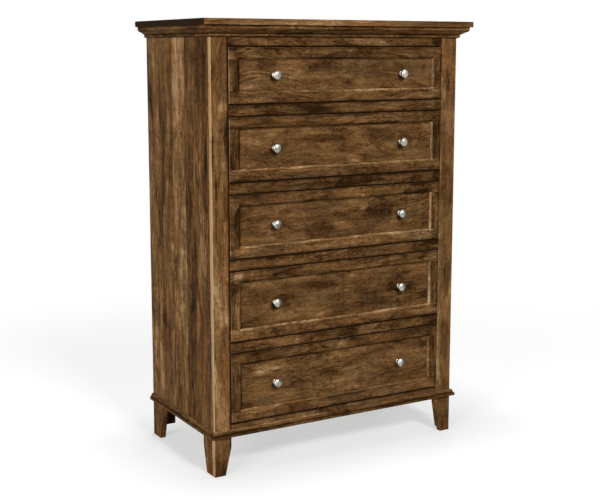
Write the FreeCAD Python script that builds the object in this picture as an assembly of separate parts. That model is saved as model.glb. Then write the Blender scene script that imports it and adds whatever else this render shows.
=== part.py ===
import FreeCAD, Part
import os
from FreeCAD import Vector

# A five-drawer chest in solid hardwood: a face-frame case on tapered feet, with a mitred crown
# and base moulding, inset frame-and-panel drawer fronts, dovetailed boxes and full-extension slides.
# Lengths are in millimetres. Everything is laid out from the middle of the case's front, at the
# floor: X to the right, Y towards the back, Z up. write() then moves each piece back by half the
# depth, so that the origin is the middle of the footprint.

# Overall size, 40 by 21 by 57 inches
overall_width = 1016.0
overall_depth = 533.0
overall_height = 1448.0

# Boards
board = 19.0
thin_ply = 6.0
bottom_ply = 12.0
box_board = 16.0
eased_arris = 1.6

# Top panel
top_overhang = 40.0
top_arris = 2.2

# Case and face frame
stile_width = 60.0
rail_height = 37.0
drawer_openings = (178.0, 206.0, 206.0, 229.5, 229.5)
lowest_opening_z = 168.0
tenon_length = 25.0
tenon_thickness = 9.5
tenon_shoulder = 5.0
housing_depth = 6.0
back_rabbet = 10.0
back_rail_height = 45.0

# Feet
front_foot_width = 39.0
side_foot_width = 58.0
side_foot_top_width = 81.0
foot_taper_height = 92.0
rear_block_width = 53.0
rear_block_bottom = 34.0
front_block_side = 20.0

# Crown and base moulding
crown_out = 31.6
crown_height = 36.0
base_out = 13.7
base_height = 21.5
base_bottom = 128.5

# Drawer fronts
drawer_gap = 2.4
frame_member = 38.0
panel_recess = 6.4
panel_thickness = 8.0
panel_groove = 9.5
groove_clearance = 0.15
panel_play = 1.0
front_arris = 1.2

# Drawer boxes
box_depth = 460.0
box_lift = 12.0
box_headroom = 23.0
tail_pitch = 45.0
tail_share = 0.66
tail_slope = 1.0 / 7.0
box_groove_depth = 7.0
box_groove_lift = 12.0

# Slides, each 12.7 by 45.7 in section and 18 inches long
slide_thickness = 12.7
slide_height = 45.7
slide_length = 457.0
slide_setback = 1.0
slide_steel = 1.2
slide_centre_lift = 62.0
slide_outer_depth = 10.2
slide_outer_lip = 2.6
slide_middle_web = 6.0
slide_middle_flange = (3.0, 10.8)
slide_middle_height = 34.0
slide_inner_depth = 4.3
slide_inner_height = 23.2
spacer_height = 57.0

# Knobs
knob_share = 0.3
knob_reach = 28.0
knob_base_radius = 8.4
knob_base_height = 1.2
knob_neck_radius = 6.2
knob_neck_length = 12.8
knob_head_radius = 14.3
knob_rim = 1.8
knob_flare = 6.0
knob_face_radius = 9.0

# Cleats that hold the top
cleat_length = 380.0

# Worked out from the above
case_width = overall_width - 2 * top_overhang
case_depth = overall_depth - top_overhang
case_height = overall_height - board
half_case = case_width / 2
inner_half = half_case - board
opening_half = half_case - stile_width
back_face = case_depth - thin_ply
front_shift = top_overhang - overall_depth / 2
box_half = opening_half - slide_thickness


def block(x0, x1, y0, y1, z0, z1):
    """A rectangular board between two opposite corners."""
    return Part.makeBox(x1 - x0, y1 - y0, z1 - z0, Vector(x0, y0, z0))


def both_sides(shape):
    """A right-hand piece together with its mirror image on the left."""
    left = shape.mirror(Vector(0, 0, 0), Vector(1, 0, 0))
    return [left, shape]


def write(name, pieces):
    """Export one node, moved so that the origin is the middle of the footprint."""
    solids = []
    for piece in pieces:
        solids.extend(piece.Solids)
    shape = solids[0].copy() if len(solids) == 1 else Part.makeCompound(solids)
    shape.translate(Vector(0, front_shift, 0))
    shape.exportStep("parts/" + name + ".step")
    print(name, len(solids), round(sum(solid.Volume for solid in solids) / 1000.0, 1), "cm3")


def outline(points, plane):
    """A closed face through points; plane turns each (a, b) pair into a place in space."""
    corners = [plane(a, b) for a, b in points]
    return Part.Face(Part.makePolygon(corners + corners[:1]))


def opening_bottom(number):
    """Height of the lower edge of a face-frame opening; drawer 1 is the top one."""
    below = drawer_openings[number:]
    return lowest_opening_z + sum(below) + rail_height * len(below)


# Case

def top_panel():
    """Edge-glued slab with its long arrises eased, flush with the case at the back."""
    half = overall_width / 2
    slab = block(-half, half, -top_overhang, case_depth, case_height, overall_height)
    level = [edge for edge in slab.Edges if edge.BoundBox.ZLength < 0.1]
    return slab.makeFillet(top_arris, level)


def side_panel():
    """Right side: its lower end is cut away between two tapered feet."""
    panel = block(inner_half, half_case, board, case_depth, 0, case_height)
    gap = [
        (side_foot_width, 0),
        (side_foot_top_width, foot_taper_height),
        (side_foot_top_width, base_bottom),
        (case_depth - side_foot_top_width, base_bottom),
        (case_depth - side_foot_top_width, foot_taper_height),
        (case_depth - side_foot_width, 0),
    ]
    gap_face = outline(gap, lambda y, z: Vector(inner_half, y, z))
    panel = panel.cut(gap_face.extrude(Vector(board, 0, 0)))
    rabbet = block(inner_half, inner_half + back_rabbet, back_face, case_depth, base_bottom, case_height)
    housing = block(inner_half, inner_half + housing_depth, board, back_face - board,
                    bottom_panel_z(), bottom_panel_z() + bottom_ply)
    return panel.cut(rabbet).cut(housing)


def bottom_panel_z():
    """Underside of the case bottom, level with the middle of the base moulding."""
    return base_bottom + base_height - bottom_ply


def tenon(z0, z1):
    """Right-hand tenon of a rail, also the shape of its mortise."""
    near = (board - tenon_thickness) / 2
    return block(opening_half, opening_half + tenon_length, near, near + tenon_thickness,
                 z0 + tenon_shoulder, z1 - tenon_shoulder)


def rail_heights():
    """Lower and upper edge of each face-frame rail, from the top one down."""
    spans = [(opening_bottom(1) + drawer_openings[0], case_height)]
    for number in range(1, len(drawer_openings)):
        upper = opening_bottom(number)
        spans.append((upper - rail_height, upper))
    spans.append((base_bottom, lowest_opening_z))
    return spans


def stile():
    """Right face-frame stile, mortised for the rails; its lower end is the front foot."""
    post = block(opening_half, half_case, 0, board, 0, case_height)
    front_outer = [edge for edge in post.Edges
                   if abs(edge.CenterOfMass.x - half_case) < 0.1 and abs(edge.CenterOfMass.y) < 0.1]
    post = post.makeFillet(eased_arris, front_outer)
    taper = [
        (half_case - front_foot_width, 0),
        (opening_half, foot_taper_height),
        (opening_half, 0),
    ]
    taper_face = outline(taper, lambda x, z: Vector(x, 0, z))
    post = post.cut(taper_face.extrude(Vector(0, board, 0)))
    for z0, z1 in rail_heights():
        post = post.cut(tenon(z0, z1))
    return post


def rail(z0, z1):
    """Face-frame rail with a tenon at each end."""
    body = block(-opening_half, opening_half, 0, board, z0, z1)
    for piece in both_sides(tenon(z0, z1)):
        body = body.fuse(piece)
    return body.removeSplitter()


def back_rails():
    """Stretchers between the sides, in front of the back panel."""
    front = back_face - board
    upper = block(-inner_half, inner_half, front, back_face, case_height - back_rail_height, case_height)
    lower = block(-inner_half, inner_half, front, back_face, base_bottom, base_bottom + back_rail_height)
    return [upper, lower]


def rear_foot_block():
    """Board that stiffens the right rear foot from inside."""
    return block(inner_half - rear_block_width, inner_half, back_face - board, back_face,
                 rear_block_bottom, base_bottom)


def front_foot_block():
    """Square strip in the corner behind the right front foot."""
    return block(inner_half - front_block_side, inner_half, board, board + front_block_side,
                 rear_block_bottom, bottom_panel_z())


def top_cleat():
    """Strip glued inside the top of the right side, under the top panel."""
    middle = (board + back_face) / 2
    return block(inner_half - board, inner_half, middle - cleat_length / 2, middle + cleat_length / 2,
                 case_height - board, case_height)


# Mouldings

def crown_face(place):
    """Section of the crown: fascia, ogee, quirk and bead, measured out from the case and down."""
    def at(out, down):
        return place(out, case_height - down)
    edges = [
        Part.makeLine(at(0, 0), at(crown_out, 0)),
        Part.makeLine(at(crown_out, 0), at(crown_out, 7.5)),
        Part.Arc(at(crown_out, 7.5), at(29.4, 12.6), at(23.5, 16.6)).toShape(),
        Part.Arc(at(23.5, 16.6), at(15.6, 20.6), at(9.6, 25.2)).toShape(),
        Part.makeLine(at(9.6, 25.2), at(7.4, 25.2)),
        Part.makeLine(at(7.4, 25.2), at(7.4, 26.6)),
        Part.Arc(at(7.4, 26.6), at(8.7, 30.3), at(6.4, 34.0)).toShape(),
        Part.makeLine(at(6.4, 34.0), at(4.6, crown_height)),
        Part.makeLine(at(4.6, crown_height), at(0, crown_height)),
        Part.makeLine(at(0, crown_height), at(0, 0)),
    ]
    return Part.Face(Part.Wire(edges))


def base_face(place):
    """Section of the base moulding: a rounded lower band, a quirk and a sloping cap."""
    def at(out, up):
        return place(out, base_bottom + up)
    edges = [
        Part.makeLine(at(0, 0), at(base_out - 1.2, 0)),
        Part.makeLine(at(base_out - 1.2, 0), at(base_out, 1.2)),
        Part.makeLine(at(base_out, 1.2), at(base_out, 5.5)),
        Part.Arc(at(base_out, 5.5), at(12.9, 8.6), at(10.6, 10.6)).toShape(),
        Part.makeLine(at(10.6, 10.6), at(9.4, 10.6)),
        Part.Arc(at(9.4, 10.6), at(8.0, 16.0), at(5.4, 20.3)).toShape(),
        Part.makeLine(at(5.4, 20.3), at(4.0, base_height)),
        Part.makeLine(at(4.0, base_height), at(0, base_height)),
        Part.makeLine(at(0, base_height), at(0, 0)),
    ]
    return Part.Face(Part.Wire(edges))


def mitre_waste(reach, z0, z1):
    """The two triangular prisms beside the 45 degree joint at the right front corner."""
    corner = Vector(half_case, 0, z0)
    tip = Vector(half_case + reach, -reach, z0)
    rise = Vector(0, 0, z1 - z0)
    beyond_front = [corner, Vector(half_case + reach, 0, z0), tip, corner]
    before_side = [corner, tip, Vector(half_case, -reach, z0), corner]
    return (Part.Face(Part.makePolygon(beyond_front)).extrude(rise),
            Part.Face(Part.makePolygon(before_side)).extrude(rise))


def front_moulding(section, reach, z0, z1):
    """Front length, mitred at both ends."""
    face = section(lambda out, z: Vector(-half_case - reach, -out, z))
    length = face.extrude(Vector(case_width + 2 * reach, 0, 0))
    beyond_front, before_side = mitre_waste(reach + 1, z0 - 1, z1 + 1)
    for waste in both_sides(beyond_front):
        length = length.cut(waste)
    return length


def side_moulding(section, reach, z0, z1):
    """Right return, mitred in front and cut square at the back of the case."""
    face = section(lambda out, z: Vector(half_case + out, -reach, z))
    length = face.extrude(Vector(0, case_depth + reach, 0))
    beyond_front, before_side = mitre_waste(reach + 1, z0 - 1, z1 + 1)
    return length.cut(before_side)


# Slides, each drawn on the right and mirrored

def slide_centre(number):
    """Height of the middle of a drawer's slides."""
    return opening_bottom(number) + box_lift + slide_centre_lift


def slide_strip(x0, x1, z0, z1, number):
    """One straight wall of a slide member; x is measured inward from the spacer."""
    middle = slide_centre(number)
    start = board + slide_setback
    return block(opening_half - x1, opening_half - x0, start, start + slide_length, middle + z0, middle + z1)


def fused(pieces):
    """The pieces joined into one solid."""
    return pieces[0].multiFuse(pieces[1:]).removeSplitter()


def channel(number, web_near, web_far, flange_near, flange_far, half_height, lip):
    """Folded channel: a web, two flanges and, where there is a lip, the turned-in flange ends."""
    low = half_height - slide_steel
    walls = [
        slide_strip(web_near, web_far, -half_height, half_height, number),
        slide_strip(flange_near, flange_far, low, half_height, number),
        slide_strip(flange_near, flange_far, -half_height, -low, number),
    ]
    if lip:
        start = flange_far - slide_steel
        walls.append(slide_strip(start, flange_far, low - lip, half_height, number))
        walls.append(slide_strip(start, flange_far, -half_height, -(low - lip), number))
    return fused(walls)


def slide_case_member(number):
    """Outer member, screwed to the spacer."""
    return channel(number, 0, slide_steel, 0, slide_outer_depth, slide_height / 2, slide_outer_lip)


def slide_middle_member(number):
    """Middle member: its flanges carry the balls of both tracks."""
    near, far = slide_middle_flange
    return channel(number, slide_middle_web, slide_middle_web + slide_steel, near, far,
                   slide_middle_height / 2, 0)


def slide_drawer_member(number):
    """Inner member, screwed to the drawer box."""
    return channel(number, slide_thickness - slide_steel, slide_thickness,
                   slide_thickness - slide_inner_depth, slide_thickness, slide_inner_height / 2, 0)


def slide_spacer(number):
    """Strip that brings the slide flush with the edge of the face frame."""
    middle = slide_centre(number)
    start = board + slide_setback
    return block(opening_half, inner_half, start, start + slide_length,
                 middle - spacer_height / 2, middle + spacer_height / 2)


# Drawers

def front_size(number):
    """Half width, lower edge and upper edge of a drawer front."""
    low = opening_bottom(number) + drawer_gap
    return opening_half - drawer_gap, low, low + drawer_openings[number - 1] - 2 * drawer_gap


def front_frame(number):
    """Two through rails and two stiles with a mitred bevel and a groove round the panel."""
    half, low, high = front_size(number)
    blank = block(-half, half, 0, board, low, high)
    face_edges = [edge for edge in blank.Edges if abs(edge.CenterOfMass.y) < 0.1]
    blank = blank.makeChamfer(front_arris, face_edges)
    in_half = half - frame_member
    in_low = low + frame_member
    in_high = high - frame_member
    hole = block(-in_half, in_half, 0, board, in_low, in_high)
    wide_half = in_half + panel_recess
    bevel = Part.makeWedge(-wide_half, 0, in_low - panel_recess, in_low, -in_half,
                           wide_half, panel_recess, in_high + panel_recess, in_high, in_half)
    groove = panel_block(in_half, in_low, in_high, panel_groove, groove_clearance)
    ring = blank.cut(hole).cut(bevel).cut(groove)
    tongues = stile_tongues(half, in_half, in_low, in_high)
    right_stile = ring.common(block(in_half, half, 0, board, in_low, in_high))
    upper_rail = ring.common(block(-half, half, 0, board, in_high, high))
    lower_rail = ring.common(block(-half, half, 0, board, low, in_low))
    for tongue in tongues:
        right_stile = right_stile.fuse(tongue)
        for slot in both_sides(tongue):
            upper_rail = upper_rail.cut(slot)
            lower_rail = lower_rail.cut(slot)
    return [upper_rail, lower_rail] + both_sides(right_stile)


def stile_tongues(half, in_half, in_low, in_high):
    """Stub tenons at the two ends of the right stile, beside the panel's corner."""
    near = in_half + panel_groove
    far = half - tenon_shoulder
    reach = panel_groove - panel_play
    tongue_front = panel_recess + groove_clearance
    tongue_back = panel_recess + panel_thickness
    return [block(near, far, tongue_front, tongue_back, in_high, in_high + reach),
            block(near, far, tongue_front, tongue_back, in_low - reach, in_low)]


def panel_block(in_half, in_low, in_high, reach, play):
    """Flat panel that reaches into the frame's groove by the given amount."""
    return block(-in_half - reach, in_half + reach, panel_recess, panel_recess + panel_thickness + play,
                 in_low - reach, in_high + reach)


def front_panel(number):
    """Flat panel, with room in its groove to move."""
    half, low, high = front_size(number)
    return panel_block(half - frame_member, low + frame_member, high - frame_member,
                       panel_groove - panel_play, 0)


def box_span(number):
    """Lower and upper edge of a drawer box."""
    low = opening_bottom(number) + box_lift
    return low, opening_bottom(number) + drawer_openings[number - 1] - box_headroom


def box_tails(number, y_outer, inward):
    """Dovetails of the right side at one corner, wider at the end of the board than at its root."""
    low, high = box_span(number)
    count = round((high - low) / tail_pitch)
    pitch = (high - low) / count
    wide = pitch * tail_share
    narrow = wide - 2 * box_board * tail_slope
    tails = []
    for index in range(count):
        middle = low + (index + 0.5) * pitch
        root = y_outer + inward * box_board
        shape = [
            (y_outer, middle - wide / 2),
            (root, middle - narrow / 2),
            (root, middle + narrow / 2),
            (y_outer, middle + wide / 2),
        ]
        face = outline(shape, lambda y, z: Vector(box_half - box_board, y, z))
        tails.append(face.extrude(Vector(box_board, 0, 0)))
    return tails


def box_parts(number):
    """Dovetailed sides and ends, with the groove for the bottom run inside all four."""
    low, high = box_span(number)
    front = board
    back = board + box_depth
    front_tails = box_tails(number, front, 1)
    back_tails = box_tails(number, back, -1)
    side = block(box_half - box_board, box_half, front + box_board, back - box_board, low, high)
    side = fused([side] + front_tails + back_tails)
    groove = box_bottom_block(number, box_groove_depth, groove_clearance)
    sides = [piece.cut(groove) for piece in both_sides(side)]
    ends = []
    for y, tails in ((front, front_tails), (back - box_board, back_tails)):
        end = block(-box_half, box_half, y, y + box_board, low, high).cut(groove)
        for tail in tails:
            for piece in both_sides(tail):
                end = end.cut(piece)
        ends.append(end)
    return sides, ends


def box_bottom_block(number, reach, play):
    """Bottom of the box, reaching into the grooves by the given amount."""
    low = box_span(number)[0] + box_groove_lift
    half = box_half - box_board + reach
    front = board + box_board - reach
    back = board + box_depth - box_board + reach
    return block(-half, half, front, back, low, low + thin_ply + play)


def knob_places(number):
    """Middle of the two knobs of a drawer."""
    half, low, high = front_size(number)
    x = 2 * half * knob_share
    return [Vector(side * x, panel_recess, (low + high) / 2) for side in (-1, 1)]


def knob():
    """Turned knob on the Y axis: flange, neck, flared head, rim and bevelled face; it stands out to -Y."""
    neck_end = knob_base_height + knob_neck_length
    rim_start = neck_end + knob_flare
    profile = [
        (0, 0),
        (knob_base_radius, 0),
        (knob_neck_radius, knob_base_height),
        (knob_neck_radius, neck_end),
        (knob_head_radius, rim_start),
        (knob_head_radius, rim_start + knob_rim),
        (knob_face_radius, knob_reach),
        (0, knob_reach),
    ]
    half_section = outline(profile, lambda radius, out: Vector(radius, -out, 0))
    return half_section.revolve(Vector(0, 0, 0), Vector(0, 1, 0), 360)


def knobs(number):
    """Both knobs of a drawer."""
    pieces = []
    for place in knob_places(number):
        piece = knob()
        piece.translate(place)
        pieces.append(piece)
    return pieces


def write_case():
    """Everything that stays still."""
    write("top_panel", [top_panel()])
    crown = (crown_face, crown_out, case_height - crown_height, case_height)
    base = (base_face, base_out, base_bottom, base_bottom + base_height)
    write("crown_front", [front_moulding(*crown)])
    write("crown_returns", both_sides(side_moulding(*crown)))
    write("base_front", [front_moulding(*base)])
    write("base_returns", both_sides(side_moulding(*base)))
    left_side, right_side = both_sides(side_panel())
    write("side_left", [left_side])
    write("side_right", [right_side])
    left_stile, right_stile = both_sides(stile())
    write("stile_left", [left_stile])
    write("stile_right", [right_stile])
    rails = [rail(z0, z1) for z0, z1 in rail_heights()]
    write("top_rail", rails[:1])
    write("drawer_rails", rails[1:-1])
    write("bottom_rail", rails[-1:])
    panel_half = half_case - board + back_rabbet
    write("back_panel", [block(-panel_half, panel_half, back_face, case_depth, base_bottom, case_height)])
    write("back_rails", back_rails())
    bottom_half = inner_half + housing_depth
    write("bottom_panel", [block(-bottom_half, bottom_half, board, back_face - board,
                                 bottom_panel_z(), bottom_panel_z() + bottom_ply)])
    write("front_foot_blocks", both_sides(front_foot_block()))
    write("rear_foot_blocks", both_sides(rear_foot_block()))
    write("top_cleats", both_sides(top_cleat()))
    spacers = []
    members = []
    for number in range(1, len(drawer_openings) + 1):
        spacers.extend(both_sides(slide_spacer(number)))
        members.extend(both_sides(slide_case_member(number)))
    write("slide_spacers", spacers)
    write("slide_case_members", members)


def write_drawer(number):
    """One drawer with the moving members of its slides."""
    name = "drawer_" + str(number)
    write(name + "_front_frame", front_frame(number))
    write(name + "_front_panel", [front_panel(number)])
    sides, ends = box_parts(number)
    write(name + "_box_sides", sides)
    write(name + "_box_ends", ends)
    write(name + "_box_bottom", [box_bottom_block(number, box_groove_depth - panel_play, 0)])
    write(name + "_knobs", knobs(number))
    write(name + "_slide_members", both_sides(slide_drawer_member(number)))
    write("slide_" + str(number) + "_middle", both_sides(slide_middle_member(number)))


os.makedirs("parts", exist_ok=True)
write_case()
for drawer in range(1, len(drawer_openings) + 1):
    write_drawer(drawer)
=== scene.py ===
# %% [markdown]
# A tall chest of five drawers, dressed for its portrait
#
# The chest stands already as a set of solid parts, measured in metres, with its
# feet on the floor and its drawers opening towards minus Y. This lesson gives
# every part its finish, turns the ten knobs, drives in the small fasteners, and
# sets up the floor, the light and the camera.

import math

import bpy
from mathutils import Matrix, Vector


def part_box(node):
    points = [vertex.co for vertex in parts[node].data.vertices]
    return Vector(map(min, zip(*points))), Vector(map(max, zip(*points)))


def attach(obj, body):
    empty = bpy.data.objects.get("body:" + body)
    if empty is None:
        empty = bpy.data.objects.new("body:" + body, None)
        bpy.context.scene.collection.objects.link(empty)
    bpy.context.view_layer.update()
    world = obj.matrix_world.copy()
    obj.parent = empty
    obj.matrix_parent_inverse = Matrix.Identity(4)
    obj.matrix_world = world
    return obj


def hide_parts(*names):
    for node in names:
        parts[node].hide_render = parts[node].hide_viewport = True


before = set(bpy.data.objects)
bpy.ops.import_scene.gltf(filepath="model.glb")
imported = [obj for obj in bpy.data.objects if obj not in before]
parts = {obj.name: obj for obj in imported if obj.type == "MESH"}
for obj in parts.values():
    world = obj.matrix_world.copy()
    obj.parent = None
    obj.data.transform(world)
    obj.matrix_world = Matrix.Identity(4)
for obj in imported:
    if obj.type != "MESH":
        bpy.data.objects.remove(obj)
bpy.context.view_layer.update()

# %% [markdown]
# Working units
#
# A cabinet maker thinks in millimetres and Blender in metres, so one small
# number turns one into the other. The drawers are counted from the top.

# %% Units and counts
mm = 0.001
drawers = (1, 2, 3, 4, 5)
front_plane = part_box("stile_left")[0].y
half_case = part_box("side_right")[1].x
print("front of the case at y =", round(front_plane, 4), "half width", round(half_case, 4))


def middle_height(name):
    low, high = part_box(name)
    return (low.z + high.z) / 2


# %% [markdown]
# Arithmetic on sockets
#
# A finish is a tree of nodes, and most of the nodes in it only add or multiply.
# Written one by one they hide the idea, so a wire here is a Python value: plus,
# minus, times and greater-than on it each add the Math node that does the sum.
# A number may stand on either side of the sign.


# %% A wire that can be calculated with
class Wire:
    """The output of a node, with the sums that a finish needs."""

    def __init__(self, bench, socket):
        self.bench = bench
        self.socket = socket

    def __add__(self, other):
        return self.bench.sum("ADD", self, other)

    def __radd__(self, other):
        return self.bench.sum("ADD", other, self)

    def __sub__(self, other):
        return self.bench.sum("SUBTRACT", self, other)

    def __rsub__(self, other):
        return self.bench.sum("SUBTRACT", other, self)

    def __mul__(self, other):
        return self.bench.sum("MULTIPLY", self, other)

    def __rmul__(self, other):
        return self.bench.sum("MULTIPLY", other, self)

    def __truediv__(self, other):
        return self.bench.sum("DIVIDE", self, other)

    def __rtruediv__(self, other):
        return self.bench.sum("DIVIDE", other, self)

    def __gt__(self, other):
        return self.bench.sum("GREATER_THAN", self, other)

    def __lt__(self, other):
        return self.bench.sum("LESS_THAN", self, other)

    def __abs__(self):
        return self.bench.sum("ABSOLUTE", self)

    def other(self, name):
        """Another output of the same node."""
        return Wire(self.bench, self.socket.node.outputs[name])


# %% [markdown]
# A bench for node trees
#
# Every other node comes from one method. It takes the kind of node, then its
# settings, which are made first because some of them change the sockets, and
# then the numbers or wires that go into it. A second method is for Math nodes
# alone, because a root or a sine has no sign in Python. Materials and Geometry
# Nodes are built on the same bench.


# %% The bench
class Bench:
    """A node tree under construction."""

    def __init__(self, tree):
        self.tree = tree
        self.tree.nodes.clear()

    def node(self, kind, settings=None, inputs=None, output=0):
        made = self.tree.nodes.new(kind)
        for name, value in (settings or {}).items():
            if name == "stops":
                set_stops(made.color_ramp, value)
            elif name == "points":
                set_points(made.mapping, value)
            else:
                setattr(made, name, value)
        for name, value in (inputs or {}).items():
            if isinstance(value, Wire):
                self.tree.links.new(value.socket, made.inputs[name])
            else:
                made.inputs[name].default_value = value
        return Wire(self, made.outputs[output]) if made.outputs else made

    def sum(self, operation, first, second=0.0):
        return self.node("ShaderNodeMath", {"operation": operation}, {0: first, 1: second})


def set_stops(ramp, stops):
    """Puts (place, colour) stops on a colour ramp."""
    while len(ramp.elements) < len(stops):
        ramp.elements.new(1.0)
    for element, (place, colour) in zip(ramp.elements, stops):
        element.position = place
        element.color = (*colour, 1.0)


def set_points(mapping, points):
    """Draws a curve of straight runs through (place, value) points."""
    curve = mapping.curves[0]
    while len(curve.points) < len(points):
        curve.points.new(0.5, 0.5)
    for point, (place, value) in zip(curve.points, points):
        point.location = (place, value)
        point.handle_type = "VECTOR"
    mapping.update()


# %% [markdown]
# Vectors, masks and noise
#
# A Math node would turn a vector into a single number, so places in space are
# moved and stretched with Vector Math. A soft mask is a Map Range node: nought
# on one side of a line, one on the other, and a smooth slope between. A cloud is
# noise whose cells can be drawn out along the grain.


# %% Helpers for places, masks and colours
def moved(bench, vector, by):
    return bench.node("ShaderNodeVectorMath", {"operation": "ADD"}, {0: vector, 1: by})


def stretched(bench, vector, by):
    return bench.node("ShaderNodeVectorMath", {"operation": "MULTIPLY"}, {0: vector, 1: by})


def joined(bench, x, y, z):
    return bench.node("ShaderNodeCombineXYZ", {}, {"X": x, "Y": y, "Z": z})


def distance(bench, across, up):
    """How far off a point lies, from its distances both ways."""
    return bench.sum("SQRT", across * across + up * up)


def soft_step(bench, value, low, high, start=0.0, end=1.0):
    """Goes smoothly from start to end while value goes from low to high."""
    settings = {"interpolation_type": "SMOOTHSTEP"}
    inputs = {"Value": value, "From Min": low, "From Max": high, "To Min": start, "To Max": end}
    return bench.node("ShaderNodeMapRange", settings, inputs)


def cloud(bench, place, stretch, detail=3.0, wander=0.0, crisp=0.5):
    """Noise around 0.5, drawn out along the axes by a stretch of cells per metre."""
    inputs = {"Vector": stretched(bench, place, stretch), "Scale": 1.0, "Detail": detail}
    inputs.update({"Roughness": crisp, "Distortion": wander})
    return bench.node("ShaderNodeTexNoise", {}, inputs)


def tinted(bench, share, first, second, kind="MIX"):
    """Mixes two colours by a share from 0 to 1."""
    settings = {"data_type": "RGBA", "blend_type": kind, "clamp_factor": True}
    return bench.node("ShaderNodeMix", settings, {0: share, 6: first, 7: second}, output=2)


def coloured(bench, value, stops):
    """Picks a colour from a ramp with (place, colour) stops."""
    return bench.node("ShaderNodeValToRGB", {"stops": stops}, {"Fac": value})


def new_finish(name):
    material = bpy.data.materials.new(name)
    material.use_nodes = True
    return material, Bench(material.node_tree)


# %% [markdown]
# Where a point lies in its board
#
# Wood is not the same in all directions, so each finish first asks how far along
# the grain, across the board and into its thickness a point lies. The place in
# the chest is the object coordinate, and a board with upright grain only takes
# the axes in another order. Boards glued edge to edge are told apart by counting
# the glue lines passed, and every board is then slid to its own piece of tree.


# %% Board coordinates
def axes_of(bench):
    """The x, y and z of a point of the chest."""
    place = bench.node("ShaderNodeTexCoord", {}, {}, output="Object")
    split = bench.node("ShaderNodeSeparateXYZ", {}, {0: place})
    return {"x": split, "y": split.other("Y"), "z": split.other("Z")}


def count_passed(coordinate, lines):
    """How many glue lines lie below a point."""
    passed = 0.0
    for line in lines:
        passed = (coordinate > line) + passed
    return passed


def own_tree(bench, axes, order, board, pull=1.0):
    """A point's place in its own board.

    The three letters of the order are the axes along the grain, across the board and
    into it. A board's number slides it to its own piece of tree, and a pull below one
    draws the figure out along the grain.
    """
    along, across, depth = (axes[letter] for letter in order)
    return joined(bench, along * pull + board * 2.37, across + board * 0.91, depth + board * 0.53)


# %% [markdown]
# The figure of the wood
#
# The chest is a close-grained hardwood under a brown stain. Four things show:
# growth rings, which a flat-sawn board cuts into long arches; broad bands along
# the grain; blotches, where such wood drinks stain unevenly; and fine streaks,
# veins and dashes. Rings are the distance from a wandering heart line. The rest
# is noise, given by its cells per metre along the grain, across it and into it.
# Their sum is one tone from dark to light.


# %% A place on grain that does not run straight
def swayed(bench, place):
    """Points slip sideways as they go along the grain."""
    inputs = {"Vector": stretched(bench, place, (3.0, 6.0, 6.0)), "Scale": 1.0, "Detail": 3.0}
    wind = bench.node("ShaderNodeTexNoise", {}, inputs, output="Color")
    centred = moved(bench, wind, (-0.5, -0.5, -0.5))
    return moved(bench, place, stretched(bench, centred, (0.0, 0.07, 0.05)))


# %% Growth rings
ring_spacing = 9 * mm
heart_spacing = 0.26


def growth_rings(bench, place, spacing):
    """From 0 just after a dark line to 1 at the next.

    The heart wanders along the grain, and a wide board meets it again and again.
    """
    split = bench.node("ShaderNodeSeparateXYZ", {}, {0: place})
    drift = cloud(bench, place, (0.8, 1.6, 1.6), 1.0)
    rough = cloud(bench, place, (5.0, 22.0, 22.0), 4.0)
    side = bench.sum("PINGPONG", split.other("Y") + drift * 0.20, heart_spacing / 2)
    under = split.other("Z") + drift * 0.16 + 20 * mm
    return bench.sum("FRACT", (distance(bench, side, under) + rough * 12 * mm) / spacing)


# %% Veins, dashes and ripples
def veins(bench, place, fineness=1.0):
    """Thin dark lines that wander along the grain, in some places only."""
    stretch = (6.0 * fineness, 34.0 * fineness, 34.0 * fineness)
    contour = abs(cloud(bench, place, stretch, 3.0, 1.2) - 0.5)
    patches = (3.0 * fineness, 9.0 * fineness, 9.0 * fineness)
    where = soft_step(bench, cloud(bench, place, patches, 2.0), 0.44, 0.58)
    return soft_step(bench, contour, 0.004, 0.022, 1.0, 0.0) * where


def mineral_marks(bench, place):
    """Short black dashes along the grain, in some places only."""
    dash = soft_step(bench, cloud(bench, place, (26.0, 110.0, 110.0), 3.0, 0.4), 0.66, 0.74)
    where = soft_step(bench, cloud(bench, place, (1.6, 14.0, 14.0), 2.0), 0.54, 0.66)
    return dash * where


def curl(bench, place):
    """Soft bars across the grain, where the fibres ripple."""
    bars = cloud(bench, place, (48.0, 11.0, 11.0), 2.0, 0.6)
    where = soft_step(bench, cloud(bench, place, (2.5, 9.0, 9.0), 2.0), 0.46, 0.66)
    return (bars - 0.5) * where


# %% The sum of them all
def wood_tone(bench, straight, strength=1.0):
    """Dark to light of bare stained wood, around 0.5."""
    place = swayed(bench, straight)
    ring = growth_rings(bench, place, ring_spacing)
    late_wood = ring * ring * ring * soft_step(bench, ring, 0.93, 1.0, 1.0, 0.0)
    bands = cloud(bench, place, (1.6, 13.0, 13.0), 3.0, 0.3)
    figure = cloud(bench, place, (6.0, 46.0, 46.0), 7.0, 0.5, 0.62)
    smudges = cloud(bench, place, (9.0, 20.0, 20.0), 8.0, 0.9, 0.66)
    drunk = cloud(bench, place, (5.0, 11.0, 11.0), 6.0, 0.6, 0.6)
    speckle = cloud(bench, place, (90.0, 190.0, 190.0), 4.0, 0.0, 0.65)
    streaks = cloud(bench, place, (16.0, 260.0, 260.0), 4.0, 0.0, 0.6)
    tone = (bands - 0.5) * 0.6 + (figure - 0.5) * 1.0 + (smudges - 0.5) * 0.85
    tone = tone + (speckle - 0.5) * 0.8 + (streaks - 0.5) * 0.5 + curl(bench, place) * 0.5
    tone = tone - late_wood * 0.16 - veins(bench, place) * 0.26 - veins(bench, place, 2.3) * 0.24
    tone = tone - mineral_marks(bench, place) * 0.35
    tone = tone - soft_step(bench, drunk, 0.54, 0.63) * 0.22 + 0.10
    return tone * strength + 0.5


print("growth rings every", round(ring_spacing / mm), "mm")

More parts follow.
